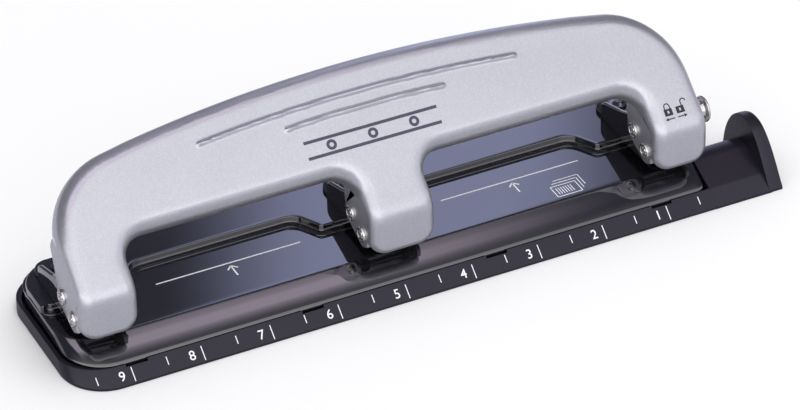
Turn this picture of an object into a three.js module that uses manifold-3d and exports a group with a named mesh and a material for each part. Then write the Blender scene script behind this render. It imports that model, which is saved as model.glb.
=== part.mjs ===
// Three hole punch: a lever handle over three punch stations on a stamped steel base,
// with a clip-on plastic chip tray that carries the ruler and the paper stop.
//
// Units are millimetres, +Z is up, +X runs along the ruler to the paper stop and +Y points
// to the back. The origin is on the table, straight below the middle punch.
import * as THREE from 'three';
import { mergeVertices } from 'three/addons/utils/BufferGeometryUtils.js';
import Module from 'manifold-3d';

const wasm = await Module();
wasm.setup();

// ---------------------------------------------------------------- driving dimensions

const HOLE_SPACING = 107.95;          // 4 1/4 inch between hole centres
const STOP_TO_HOLE = 31.75;           // paper stop to the nearest hole, 1 1/4 inch
const PAPER_HOLE = 7.14;              // 9/32 inch punch

const GAP = 0.3;                      // between pieces that nest
const FIT = 0.05;                     // between pieces that are fastened together
const RUNNING = 0.2;                  // round a pin that turns or slides

const PLATE_TOP = 10.45;              // paper bed
const PAN_SHEET = 1.2;
const PAN = { left: -121.4, right: 117.9, front: -18.4, rear: 39, foot: 1.9 };
const RIDGE_RUN = 11.0;               // width of the sloping front of the pan

const DECK_TOP = 13.45;               // upper sheet, behind the paper's edge
const DECK_SHEET = 1;
const DECK = { left: -121.2, right: 117.7, window: 20.2, station: 9.95, rear: 38.8 };
const LIP_REACH = 18.9;               // station centre to where the deck's lip swings back
const LIP_SWING = 6;

const TRAY = { left: -123.8, right: 120.45, front: -24.25, rear: 41.5, edge: 1.05, floor: 1.6 };
const STOP_FACE = HOLE_SPACING + STOP_TO_HOLE;
const STOP_THICKNESS = 5.3;
const STOP_HEIGHT = 20.3;

const OUTER_ARM = 20.7;               // width of the two end arms of the handle
const MIDDLE_ARM = 24.2;
const HANDLE_SHEET = 1.5;
const HANDLE_ROUND = 4.2;             // rounding where the face turns into its rim
const HANDLE_RIM = 8.5;
const FOOT_Z = 15.8;                  // lowest edge of the arms
const FACE_Y = -17.0;                 // front face of the arms
const BEND_START = 12.95;             // along the face from the foot edge
const BEND_RADIUS = 10;
const BEND_ANGLE = THREE.MathUtils.degToRad(48);
const ARM_TOP = 35;                   // along the face, lower edge of the body between arms
const CROWN = 72.6;                   // along the face, top edge at the middle
const ARCH_RADIUS = 566;
const END_CORNER = 29;
const LONG_RIB = { from: -61.7, to: 56.9, along: 57.6, rise: 3 };
const SHORT_RIB = { from: -30.4, to: 28, along: 54.2, rise: 0.9 };
const RIB_RADIUS = 1.5;
const RIB_DEPTH = 1.05;               // from the handle's face down to the rib's middle line

const FULCRUM = { y: -8.67, z: 21.8 };
const DRIVE_RADIUS = 9.05;            // fulcrum to drive pin
const DRIVE_ANGLE = THREE.MathUtils.degToRad(23.45);
const PRESS = THREE.MathUtils.degToRad(38);
const PIN_RADIUS = 1.75;
const PIN_HEAD_RADIUS = 2.8;
const PIN_HEAD = 1.1;

const EAR_OUTSIDE = 8.4;              // half the bracket's width
const EAR_SHEET = 1.6;
const EAR_NOSE = 3.45;                // round the fulcrum pin
const BRACKET_LOW = DECK_TOP + FIT;   // the bracket stands on the deck
const BRACKET_FLOOR = BRACKET_LOW + EAR_SHEET;
const RIVET_Y = 28.4;
const RIVET_HOLE = 2.2;

const PUNCH_TIP = 13.75;
const PUNCH_TOP = 28.4;
const CLIP_Z = 22.4;                  // spring clip's groove in the punch
const CLIP_THICKNESS = 0.7;
const GROOVE_RADIUS = 2.9;
const SPRING_WIRE = 0.35;             // wire radius

const LOCK_RADIUS = 8.4;              // fulcrum to lock plunger
const BUSH_BORE = 3.1;
const BUSH_BODY = 3.5;
const FLANGE_FACE = HOLE_SPACING + OUTER_ARM / 2;

const TRAY_SLOTS = [-100.65, -35.85, 33.95, 98.75];

const STATIONS = [
  { name: 'left', x: -HOLE_SPACING, arm: OUTER_ARM },
  { name: 'middle', x: 0, arm: MIDDLE_ARM },
  { name: 'right', x: HOLE_SPACING, arm: OUTER_ARM },
];

// ---------------------------------------------------------------- solids and outlines

// A closed geometry as a manifold solid, with shared corners merged.
function solid(geometry) {
  const bare = new THREE.BufferGeometry();
  bare.setAttribute('position', geometry.getAttribute('position').clone());
  if (geometry.index) bare.setIndex(geometry.index.clone());
  const merged = mergeVertices(bare, 1e-5);
  return new wasm.Manifold(new wasm.Mesh({
    numProp: 3,
    vertProperties: new Float32Array(merged.getAttribute('position').array),
    triVerts: new Uint32Array(merged.index.array),
  }));
}

function toGeometry(body) {
  const mesh = body.getMesh();
  const geometry = new THREE.BufferGeometry();
  geometry.setAttribute('position', new THREE.BufferAttribute(mesh.vertProperties, 3));
  geometry.setIndex(new THREE.BufferAttribute(mesh.triVerts, 1));
  return geometry;
}

const join = (first, ...rest) => rest.reduce((body, next) => body.add(next), first);
const cut = (first, ...rest) => rest.reduce((body, next) => body.subtract(next), first);

function box(x, y, z) {
  const geometry = new THREE.BoxGeometry(x[1] - x[0], y[1] - y[0], z[1] - z[0]);
  geometry.translate((x[0] + x[1]) / 2, (y[0] + y[1]) / 2, (z[0] + z[1]) / 2);
  return solid(geometry);
}

// A profile of [radius, height] pairs turned about the vertical line through (x, y).
function turnedUp(profile, x, y, sides = 18) {
  const points = profile.map(([radius, height]) => new THREE.Vector2(radius, height));
  const geometry = new THREE.LatheGeometry(points, sides);
  geometry.rotateX(Math.PI / 2);
  geometry.translate(x, y, 0);
  return solid(geometry);
}

// The same about a line along X through (y, z). Heights in the profile are X positions.
function turnedAlong(profile, y, z, sides = 20) {
  const points = profile.map(([radius, along]) => new THREE.Vector2(radius, along));
  const geometry = new THREE.LatheGeometry(points, sides);
  geometry.rotateZ(-Math.PI / 2);
  geometry.translate(0, y, z);
  return solid(geometry);
}

const rodUp = (radius, x, y, from, to, sides) =>
  turnedUp([[0, from], [radius, from], [radius, to], [0, to]], x, y, sides);
const rodAlong = (radius, y, z, from, to, sides) =>
  turnedAlong([[0, from], [radius, from], [radius, to], [0, to]], y, z, sides);

// A flat outline of [y, z] points, extended along X.
function plateAcross(points, from, to) {
  const shape = new THREE.Shape(points.map(([y, z]) => new THREE.Vector2(y, z)));
  const geometry = new THREE.ExtrudeGeometry(shape, { depth: to - from, bevelEnabled: false });
  const yzx = new THREE.Matrix4().set(0, 0, 1, from, 1, 0, 0, 0, 0, 1, 0, 0, 0, 0, 0, 1);
  geometry.applyMatrix4(yzx);
  return solid(geometry);
}

// A flat outline of [x, y] points, extended upwards.
function plateUp(points, from, to) {
  const shape = new THREE.Shape(points.map(([x, y]) => new THREE.Vector2(x, y)));
  const geometry = new THREE.ExtrudeGeometry(shape, { depth: to - from, bevelEnabled: false });
  geometry.translate(0, 0, from);
  return solid(geometry);
}

// Points round an arc in degrees, both ends included.
function arc(centreU, centreV, radius, from, to, steps) {
  const points = [];
  for (let i = 0; i <= steps; i += 1) {
    const angle = THREE.MathUtils.degToRad(from + ((to - from) * i) / steps);
    points.push([centreU + radius * Math.cos(angle), centreV + radius * Math.sin(angle)]);
  }
  return points;
}

// Rounds the corners [u, v, radius] of an anticlockwise polygon. Each point that comes back
// holds its outward normal, so the outline can be inset.
function roundedOutline(corners, degreesPerStep = 15) {
  const outline = [];
  corners.forEach(([u, v, radius], i) => {
    const corner = new THREE.Vector2(u, v);
    const before = new THREE.Vector2(...corners.at(i - 1).slice(0, 2));
    const after = new THREE.Vector2(...corners[(i + 1) % corners.length].slice(0, 2));
    const arriving = corner.clone().sub(before).normalize();
    const leaving = after.clone().sub(corner).normalize();
    const turn = Math.atan2(arriving.cross(leaving), arriving.dot(leaving));
    const side = Math.sign(turn) || 1;
    const start = corner.clone().addScaledVector(arriving, -radius * Math.tan(Math.abs(turn) / 2));
    const firstNormal = new THREE.Vector2(arriving.y, -arriving.x);
    const centre = start.clone().addScaledVector(firstNormal, -side * radius);
    const steps = radius ? Math.ceil(THREE.MathUtils.radToDeg(Math.abs(turn)) / degreesPerStep) : 0;
    for (let k = 0; k <= steps; k += 1) {
      const share = radius ? k / steps : 0.5;
      const normal = firstNormal.clone().rotateAround(new THREE.Vector2(), turn * share);
      const point = radius ? centre.clone().addScaledVector(normal, side * radius) : corner;
      outline.push({ u: point.x, v: point.y, normal });
    }
  });
  return outline;
}

// A pressed or moulded pan. Its profile is a list of [inset, height] pairs from the middle of
// one side, over the rim, to the middle of the other side, and may change along the outline.
function pan(outline, profileAt) {
  const profiles = outline.map(profileAt);
  const rings = profiles[0].map((_, k) => outline.map(({ u, v, normal }, i) => {
    const [inset, height] = profiles[i][k];
    return [u - normal.x * inset, v - normal.y * inset, height];
  }));
  return stacked(rings);
}

// Skins a stack of rings of [x, y, z] points and closes both ends.
function stacked(rings, flatten = ([x, y]) => [x, y]) {
  const count = rings[0].length;
  const index = [];
  for (let k = 0; k + 1 < rings.length; k += 1) {
    for (let i = 0; i < count; i += 1) {
      const [a, b] = [k * count + i, k * count + ((i + 1) % count)];
      index.push(a, b + count, b, a, a + count, b + count);
    }
  }
  const contour = (ring) => ring.map((point) => new THREE.Vector2(...flatten(point)));
  THREE.ShapeUtils.triangulateShape(contour(rings[0]), []).forEach((corners) => index.push(...corners));
  const last = (rings.length - 1) * count;
  THREE.ShapeUtils.triangulateShape(contour(rings.at(-1)), []).forEach(([a, b, c]) => {
    index.push(last + a, last + c, last + b);
  });
  const geometry = new THREE.BufferGeometry();
  geometry.setAttribute('position', new THREE.Float32BufferAttribute(rings.flat(2), 3));
  geometry.setIndex(index);
  return faceOutward(geometry);
}

// A dish whose sides slope by different amounts. Each row gives how far the sides, the front
// and the back lie in from the given bounds, and the height there.
function dish(bounds, radii, rows) {
  const { left, right, front, rear } = bounds;
  const outline = roundedOutline([
    [left, front, radii[0]], [right, front, radii[1]], [right, rear, radii[2]], [left, rear, radii[3]],
  ]);
  const rings = rows.map(([side, ahead, behind, height]) => outline.map(({ u, v }) => [
    THREE.MathUtils.mapLinear(u, left, right, left + side, right - side),
    THREE.MathUtils.mapLinear(v, front, rear, front + ahead, rear - behind),
    height,
  ]));
  return stacked(rings);
}

function faceOutward(geometry) {
  const position = geometry.getAttribute('position');
  const index = geometry.index.array;
  const corner = (i) => new THREE.Vector3().fromBufferAttribute(position, index[i]);
  let volume = 0;
  for (let i = 0; i < index.length; i += 3) volume += corner(i).dot(corner(i + 1).cross(corner(i + 2)));
  if (volume < 0) {
    for (let i = 0; i < index.length; i += 3) [index[i + 1], index[i + 2]] = [index[i + 2], index[i + 1]];
  }
  return geometry;
}

// Blends two profiles of the same length: share 0 gives the first, 1 the second.
const blend = (first, second, share) => first.map(([inset, height], k) => [
  THREE.MathUtils.lerp(inset, second[k][0], share),
  THREE.MathUtils.lerp(height, second[k][1], share),
]);

// Adds corners where triangles cross v = value, so the mesh can be bent about that line.
function sliced(geometry, value) {
  const position = geometry.getAttribute('position');
  const index = geometry.index ? [...geometry.index.array] : [...Array(position.count).keys()];
  const triangles = [];
  const at = (i) => [position.getX(i), position.getY(i), position.getZ(i)];
  const crossing = (a, b) => {
    const [low, high] = a[1] < b[1] ? [a, b] : [b, a];
    const share = (value - low[1]) / (high[1] - low[1]);
    return [low[0] + (high[0] - low[0]) * share, value, low[2] + (high[2] - low[2]) * share];
  };
  for (let i = 0; i < index.length; i += 3) {
    const corners = [at(index[i]), at(index[i + 1]), at(index[i + 2])];
    const sides = corners.map((p) => (Math.abs(p[1] - value) < 1e-4 ? 0 : Math.sign(p[1] - value)));
    if (sides.includes(1) && sides.includes(-1)) {
      const lone = sides.findIndex((s) => s !== 0 && sides.filter((t) => t === s).length === 1);
      const [a, b, c] = [0, 1, 2].map((k) => corners[(lone + k) % 3]);
      const [sideB, sideC] = [1, 2].map((k) => sides[(lone + k) % 3]);
      const ab = sideB === 0 ? b : crossing(a, b);
      const ac = sideC === 0 ? c : crossing(a, c);
      triangles.push([a, ab, ac]);
      if (sideB !== 0) triangles.push([ab, b, c]);
      if (sideC !== 0) triangles.push([ab, c, ac]);
    } else {
      triangles.push(corners);
    }
  }
  const result = new THREE.BufferGeometry();
  result.setAttribute('position', new THREE.Float32BufferAttribute(triangles.flat(2), 3));
  return result;
}

// ---------------------------------------------------------------- materials

const finish = (name, color, roughness, metalness) =>
  Object.assign(new THREE.MeshStandardMaterial({ color, roughness, metalness }), { name });
const silverPaint = () => finish('silver_paint', 0xb9bac6, 0.42, 0.35);
const blackPaint = () => finish('black_paint', 0x12131a, 0.16, 0.1);
const nickel = () => finish('nickel', 0xd3cfc9, 0.2, 1);
const toolSteel = () => finish('tool_steel', 0x8d8f94, 0.34, 1);
const smokePlastic = () => finish('smoke_plastic', 0x39363f, 0.34, 0);

const punchModel = new THREE.Group();

function add(name, body, material) {
  const mesh = new THREE.Mesh(body.isBufferGeometry ? body : toGeometry(body), material);
  mesh.name = name;
  punchModel.add(mesh);
}

// ---------------------------------------------------------------- base

// The pan: a flat paper bed, a sloping front and steep sides, turned down to stand in the tray.
function basePan() {
  const t = PAN_SHEET;
  const under = PLATE_TOP - t;
  const run = RIDGE_RUN;
  const body = solid(dish(PAN, [15.5, 4, 12.5, 14.5], [
    [1.2, run + 0.9, 1.2, PLATE_TOP], [0.5, run - 0.2, 0.5, PLATE_TOP - 0.1],
    [0.15, run - 1.2, 0.15, PLATE_TOP - 0.45], [0, 0.6, 0, 6], [0, 0, 0, 5.4], [0, 0, 0, PAN.foot],
    [t, t, t, PAN.foot], [t, t, t, 4.5], [1.4, run, 1.4, under - 0.3], [1.9, run + 0.9, 1.9, under],
  ]));
  const holes = STATIONS.flatMap(({ x }) => [
    rodUp(PAPER_HOLE / 2 + 0.2, x, 0, under - 1, PLATE_TOP + 1),
    rodUp(RIVET_HOLE, x, RIVET_Y, under - 1, PLATE_TOP + 1, 16),
  ]);
  return cut(body, ...holes);
}

// The deck: the upper sheet behind the paper. Its front edge drops to a thin flange on the
// pan, comes forward round each station and stops the paper there. Its ends drop straight
// down, and its back slopes down to the pan.
function deck() {
  const { left, right, window, station, rear } = DECK;
  const front = [[left, station, 4]];
  STATIONS.slice(0, 2).forEach(({ x }, i) => {
    const next = STATIONS[i + 1].x;
    front.push([x + LIP_REACH, station, 4.2], [x + LIP_REACH + LIP_SWING, window, 4.2]);
    front.push([next - LIP_REACH - LIP_SWING, window, 4.2], [next - LIP_REACH, station, 4.2]);
  });
  front.push([right, station, 4]);
  const outline = roundedOutline([...front, [right, rear, 9], [left, rear, 14]], 20);
  const top = DECK_TOP;
  const under = DECK_TOP - DECK_SHEET;
  const foot = PLATE_TOP + FIT;
  const lip = [
    [3.7, top], [2.9, top - 0.04], [2.65, top - 0.25], [2.5, foot + 1.3], [2.3, foot + 0.9],
    [1.7, foot + 0.66], [0.1, foot + 0.4], [0, foot], [3.3, foot], [3.5, under - 0.2], [3.8, under],
  ];
  const end = [
    [1.9, top], [0.8, top - 0.08], [0.25, top - 0.4], [0, top - 0.9], [0, foot + 1.6],
    [0, foot + 1], [0, foot + 0.4], [0, foot], [1, foot], [1.1, under - 0.4], [2, under],
  ];
  const back = [
    [3.6, top], [2.8, top - 0.1], [2.2, top - 0.4], [1.7, top - 0.9], [1.1, foot + 1.3],
    [0.7, foot + 0.8], [0.2, foot + 0.3], [0.1, foot], [1.7, foot], [2.4, under - 0.5], [3.7, under],
  ];
  const body = solid(pan(outline, ({ normal }) => {
    const endShare = THREE.MathUtils.smoothstep(normal.y + Math.abs(normal.x), -0.2, 0.8);
    const swings = normal.y < -0.3 && Math.abs(normal.x) < 0.9;
    return blend(blend(lip, end, swings ? 0 : endShare), back, Math.max(0, normal.y));
  }));
  return cut(body, ...STATIONS.map(({ x }) => rodUp(RIVET_HOLE, x, RIVET_Y, foot, top + 1, 16)));
}

// Where a point on the handle stands after it has turned by angle about the fulcrum.
const onArc = (radius, angle) => [
  FULCRUM.y + radius * Math.cos(angle),
  FULCRUM.z + radius * Math.sin(angle),
];

// The curved slot that guides the drive pin, as an outline round its path.
function driveSlot() {
  const degrees = THREE.MathUtils.radToDeg;
  const high = degrees(DRIVE_ANGLE);
  const low = degrees(DRIVE_ANGLE - PRESS);
  const half = PIN_RADIUS + RUNNING;
  const [topY, topZ] = onArc(DRIVE_RADIUS, DRIVE_ANGLE);
  const [lowY, lowZ] = onArc(DRIVE_RADIUS, DRIVE_ANGLE - PRESS);
  return [
    ...arc(FULCRUM.y, FULCRUM.z, DRIVE_RADIUS + half, low, high, 5),
    ...arc(topY, topZ, half, high, high + 180, 7).slice(1, -1),
    ...arc(FULCRUM.y, FULCRUM.z, DRIVE_RADIUS - half, high, low, 4),
    ...arc(lowY, lowZ, half, low + 180, low + 360, 7).slice(1, -1),
  ];
}

// A station bracket: a channel on the deck. Its floor guides the punch and runs back as a
// riveted tongue, and its ears carry the fulcrum pin and guide the drive pin.
function bracket({ x }) {
  const low = BRACKET_LOW;
  const ear = [
    ...arc(FULCRUM.y, FULCRUM.z, EAR_NOSE, 130, 290, 7),
    [-4.6, low], [26.8, low], ...arc(24.3, 18.6, 2.4, 0, 75, 3),
    [20.2, 22.2], [14.1, 24.1], [9.1, 25.9], [5.1, 28.1], [2.2, 29.2], [-1.2, 28.7], [-6.2, 26.4],
  ];
  const inside = EAR_OUTSIDE - EAR_SHEET;
  const side = EAR_OUTSIDE - 0.01;
  const floor = plateAcross([
    [-4.6, low], [27, low], [27, BRACKET_FLOOR], [-4.6, BRACKET_FLOOR],
  ], x - side, x + side);
  const tongue = plateUp(roundedOutline([
    [x - 8, 26, 0.5], [x + 8, 26, 0.5], [x + 8, 35, 5.5], [x - 8, 35, 5.5],
  ]).map(({ u, v }) => [u, v]), low, BRACKET_FLOOR);
  const body = join(
    floor, tongue,
    plateAcross(ear, x - EAR_OUTSIDE, x - inside),
    plateAcross(ear, x + inside, x + EAR_OUTSIDE),
  );
  return cut(
    body,
    rodUp(PAPER_HOLE / 2 + 0.15, x, 0, low - 1, BRACKET_FLOOR + 1),
    rodUp(RIVET_HOLE, x, RIVET_Y, low - 1, BRACKET_FLOOR + 1, 16),
    rodAlong(PIN_RADIUS + FIT, FULCRUM.y, FULCRUM.z, x - 10, x + 10, 16),
    plateAcross(driveSlot(), x - 10, x + 10),
  );
}

function diePlate({ x }) {
  const top = PLATE_TOP - PAN_SHEET - FIT;
  const plate = plateUp(roundedOutline([
    [x - 5.5, -5, 1.5], [x + 5.5, -5, 1.5], [x + 5.5, 8, 1.5], [x - 5.5, 8, 1.5],
  ]).map(({ u, v }) => [u, v]), top - 2, top);
  return cut(plate, rodUp(PAPER_HOLE / 2 + 0.1, x, 0, top - 3, top + 1));
}

// A round spacer that carries the deck above the pan at each rivet.
function spacer({ x }) {
  const [low, high] = [PLATE_TOP + FIT, DECK_TOP - DECK_SHEET - FIT];
  const [inner, outer] = [RIVET_HOLE, 3.3];
  return turnedUp([[inner, low], [outer, low], [outer, high], [inner, high], [inner, low]], x, RIVET_Y, 16);
}

// The rivet through tongue, deck, spacer and pan, with a dished head.
function tongueRivet({ x }) {
  const under = PLATE_TOP - PAN_SHEET - FIT;
  const seat = BRACKET_FLOOR + FIT;
  return turnedUp([
    [0, under - 1], [3.2, under - 1], [3.4, under - 0.3], [3.4, under], [1.9, under], [1.9, seat],
    [2.5, seat], [2.6, seat + 0.6], [2.2, seat + 1], [1.7, seat + 1], [1.2, seat + 0.5], [0, seat + 0.5],
  ], x, RIVET_Y, 16);
}

// ---------------------------------------------------------------- stations

// A pin through the flanges of one arm: a domed head on the left, and on the right an end
// that stands proud far enough for a push-on cap, or lies almost flush.
function armPin({ x, arm }, y, z, proud = 1.2) {
  const left = x - arm / 2 - FIT;
  const right = x + arm / 2 + FIT;
  return turnedAlong([
    [0, left - PIN_HEAD], [1.6, left - PIN_HEAD + 0.1], [2.5, left - PIN_HEAD + 0.5],
    [PIN_HEAD_RADIUS, left - 0.3], [PIN_HEAD_RADIUS, left], [PIN_RADIUS, left],
    [PIN_RADIUS, right + proud - 0.2], [1.45, right + proud], [0, right + proud],
  ], y, z, 16);
}

function pinCap({ x, arm }, y, z) {
  const seat = x + arm / 2 + FIT;
  const bore = PIN_RADIUS + FIT;
  return turnedAlong([
    [bore, seat], [2.35, seat], [2.35, seat + 0.6], [2.1, seat + 1], [bore, seat + 1],
    [bore, seat],
  ], y, z, 16);
}

// The punch: a steel pin with a hollow-ground tip, a groove for the spring clip and a cross
// slot for the drive pin.
function punchPin({ x }) {
  const radius = PAPER_HOLE / 2;
  const chamfer = 0.7;
  const grooveTop = CLIP_Z + CLIP_THICKNESS + 2 * FIT;
  const pin = turnedUp([
    [0, PUNCH_TIP + 1.2], [radius, PUNCH_TIP], [radius, CLIP_Z], [GROOVE_RADIUS, CLIP_Z],
    [GROOVE_RADIUS, grooveTop], [radius, grooveTop],
    [radius, PUNCH_TOP - chamfer], [radius - chamfer, PUNCH_TOP], [0, PUNCH_TOP],
  ], x, 0);
  const [, driveZ] = onArc(DRIVE_RADIUS, DRIVE_ANGLE);
  const high = driveZ + PIN_RADIUS + 0.3;
  const low = driveZ - PIN_RADIUS - 0.25;
  return cut(pin, box([x - 5, x + 5], [-2.32, 2.32], [low, high]));
}

function springClip({ x }) {
  const [inner, outer] = [GROOVE_RADIUS + FIT, 5.2];
  const [low, high] = [CLIP_Z + FIT, CLIP_Z + FIT + CLIP_THICKNESS];
  const ring = turnedUp([[inner, low], [outer, low], [outer, high], [inner, high], [inner, low]], x, 0);
  return cut(ring, box([x - 1.6, x + 1.6], [-6, 0], [low - 1, low + 2]));
}

// A cone of spring wire, so that its turns nest when the punch goes down.
class ConeSpring extends THREE.Curve {
  constructor(x, low, high, wide, narrow, turns) {
    super();
    Object.assign(this, { x, low, high, wide, narrow, turns });
  }

  getPoint(share, target = new THREE.Vector3()) {
    const angle = share * this.turns * 2 * Math.PI;
    const radius = THREE.MathUtils.lerp(this.wide, this.narrow, share);
    const z = THREE.MathUtils.lerp(this.low, this.high, share);
    return target.set(this.x + radius * Math.cos(angle), radius * Math.sin(angle), z);
  }
}

function returnSpring({ x }) {
  const low = BRACKET_FLOOR + FIT + SPRING_WIRE;
  const high = CLIP_Z - FIT / 2 - SPRING_WIRE;
  const path = new ConeSpring(x, low, high, 6, 4.3, 3.5);
  const section = new THREE.Shape(arc(0, 0, SPRING_WIRE, 0, 270, 3).map(([u, v]) => new THREE.Vector2(u, v)));
  return solid(new THREE.ExtrudeGeometry(section, { steps: 35, extrudePath: path }));
}

// ---------------------------------------------------------------- handle

// Where a point of the handle's sheet lies: along the face from the foot edge, and in from
// the outer surface.
function onFace(along, depth) {
  const angle = THREE.MathUtils.clamp((along - BEND_START) / BEND_RADIUS, 0, BEND_ANGLE);
  const before = Math.min(along, BEND_START);
  const after = Math.max(0, along - BEND_START - BEND_RADIUS * BEND_ANGLE);
  const centreY = FACE_Y + BEND_RADIUS;
  const reach = BEND_RADIUS - depth;
  return [
    centreY - reach * Math.cos(angle) + after * Math.sin(angle),
    FOOT_Z + before + reach * Math.sin(angle) + after * Math.cos(angle),
  ];
}

const archAt = (x) => CROWN - (x * x) / (2 * ARCH_RADIUS);

function handleOutline() {
  const end = HOLE_SPACING + OUTER_ARM / 2;
  const inner = HOLE_SPACING - OUTER_ARM / 2;
  const middle = MIDDLE_ARM / 2;
  const [foot, armpit] = [6.5, 9];
  const arch = [];
  for (let x = 75; x >= -75; x -= 25) arch.push([x, archAt(x), 0]);
  return roundedOutline([
    [-end, 0, foot], [-inner, 0, foot], [-inner, ARM_TOP, armpit], [-middle, ARM_TOP, armpit],
    [-middle, 0, foot], [middle, 0, foot], [middle, ARM_TOP, armpit], [inner, ARM_TOP, armpit],
    [inner, 0, foot], [end, 0, foot], [end, archAt(end), END_CORNER], ...arch,
    [-end, archAt(end), END_CORNER],
  ], 22.5);
}

function handleShell() {
  const [round, t] = [HANDLE_ROUND, HANDLE_SHEET];
  const turns = [0, 45, 90].map(THREE.MathUtils.degToRad);
  const flat = pan(handleOutline(), ({ v }) => {
    const rim = THREE.MathUtils.lerp(round + 0.4, HANDLE_RIM, THREE.MathUtils.smoothstep(v, 5, 12));
    return [
      ...turns.map((a) => [round * (1 - Math.sin(a)), round * (1 - Math.cos(a))]),
      [0, rim], [t, rim],
      ...turns.map((a) => [round - (round - t) * Math.sin(a), round - (round - t) * Math.cos(a)]).reverse(),
    ];
  });
  let shell = flat;
  for (let k = 0; k <= 3; k += 1) shell = sliced(shell, BEND_START + (BEND_RADIUS * BEND_ANGLE * k) / 3);
  const position = shell.getAttribute('position');
  for (let i = 0; i < position.count; i += 1) {
    const [y, z] = onFace(position.getY(i), position.getZ(i));
    position.setXYZ(i, position.getX(i), y, z);
  }
  return solid(faceOutward(mergeVertices(shell, 1e-4)));
}

// The side flange of an arm, which carries the pins.
function flangeOutline() {
  const front = [2, BEND_START, 16, 19, 22, 42].map((along) => onFace(along, HANDLE_ROUND + 0.6));
  return [
    [-8.7, 16.0], [-0.1, 19.9], [4.1, 22.6], [4.4, 26.5], [5.8, 33.2], [8.7, 40.5],
    onFace(42, HANDLE_RIM - 0.1), ...front.reverse(),
  ];
}

// A raised line pressed into the face, arching up by rise between its ends.
function rib({ from, to, along, rise }) {
  const place = (x, height) => new THREE.Vector3(x, ...onFace(height, RIB_DEPTH));
  const curve = new THREE.QuadraticBezierCurve3(
    place(from, along), place((from + to) / 2, along + 2 * rise), place(to, along),
  );
  const round = arc(0, 0, RIB_RADIUS, 0, 300, 5).map(([u, v]) => new THREE.Vector2(u, v));
  const section = new THREE.Shape(round);
  return solid(new THREE.ExtrudeGeometry(section, { steps: 6, extrudePath: curve }));
}

function handle() {
  const flanges = STATIONS.flatMap(({ x, arm }) => [
    plateAcross(flangeOutline(), x - arm / 2, x - arm / 2 + HANDLE_SHEET),
    plateAcross(flangeOutline(), x + arm / 2 - HANDLE_SHEET, x + arm / 2),
  ]);
  const holes = STATIONS.flatMap(({ x, arm }) => [
    rodAlong(PIN_RADIUS + RUNNING, FULCRUM.y, FULCRUM.z, x - arm, x + arm, 16),
    rodAlong(PIN_RADIUS + FIT, ...onArc(DRIVE_RADIUS, DRIVE_ANGLE), x - arm, x + arm, 16),
  ]);
  const lock = rodAlong(BUSH_BODY + FIT, ...lockAxis(), FLANGE_FACE - 3, FLANGE_FACE + 1, 24);
  return cut(join(handleShell(), ...flanges, rib(LONG_RIB), rib(SHORT_RIB)), ...holes, lock);
}

// ---------------------------------------------------------------- lock

// The plunger's place in the right flange, beside the drive pin.
const lockAxis = () => onArc(LOCK_RADIUS, DRIVE_ANGLE + PRESS);

function lockBush() {
  const face = FLANGE_FACE + FIT;
  const back = FLANGE_FACE - HANDLE_SHEET + FIT;
  return turnedAlong([
    [BUSH_BORE, back], [BUSH_BODY, back], [BUSH_BODY, face], [3.85, face], [3.85, face + 0.8],
    [3.6, face + 1.2], [BUSH_BORE, face + 1.2], [BUSH_BORE, back],
  ], ...lockAxis(), 18);
}

function lockKnob() {
  const neck = BUSH_BORE - GAP / 3;
  const out = FLANGE_FACE + 3.95;
  const step = FLANGE_FACE + 0.3;
  const tip = FLANGE_FACE - 1.6;
  return turnedAlong([
    [0, tip], [1, tip], [1.25, tip + 0.25], [1.25, step], [neck, step], [neck, out - 0.3], [3.4, out],
    [4.6, out], [4.85, out + 0.4], [4.7, out + 0.9], [4, out + 1.15], [3, out + 0.95], [0, out + 0.9],
  ], ...lockAxis(), 18);
}

// ---------------------------------------------------------------- chip tray

function trayPan() {
  const { edge, floor } = TRAY;
  return solid(dish(TRAY, [16, 2.5, 12.5, 15], [
    [0.4, 0.4, 0.4, 0], [0, 0, 0, 0.4], [0, 0, 0, edge],
    [0.2, 4.55, 0.2, 4.7], [0.75, 5.3, 0.75, 5.25], [1.75, 5.5, 1.75, 5.3],
    [1.95, 5.55, 1.95, 4.3], [2, 3.6, 2, floor], [2.3, 3.9, 2.3, floor],
  ]));
}

// Squares up the ruler band where the tray's own rounded corner would leave a notch.
function rulerEnd() {
  const { front, edge, right } = TRAY;
  return plateAcross([
    [front + 0.4, 0], [front + 3, 0], [front + 5.5, 4.3], [front + 5.5, 5.3], [front + 5.3, 5.25],
    [front, edge], [front, 0.4],
  ], right - 4, PAN.right + 1);
}

// The right end of the tray carries on the ruler and the slope of the pan to the paper stop.
function trayEnd() {
  const { front, edge } = TRAY;
  const left = PAN.right + GAP;
  const crest = { y: -4.75, z: 2.5, radius: 8 };
  const outside = (inset) => [
    [front + inset, -inset], [front + inset, edge],
    [front + 5.4 + inset * 0.7, 5.35 - inset * 0.7], [-8.6, 10.05 - inset],
    ...arc(crest.y, crest.z, crest.radius - inset, 96, 0, 8), [4.6 - inset * 1.3, -inset],
  ];
  const wall = 1.6;
  return cut(
    plateAcross(outside(0).reverse(), left, STOP_FACE + 1),
    plateAcross(outside(wall).reverse(), TRAY.right + 0.4, STOP_FACE - 0.6),
  );
}

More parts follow.
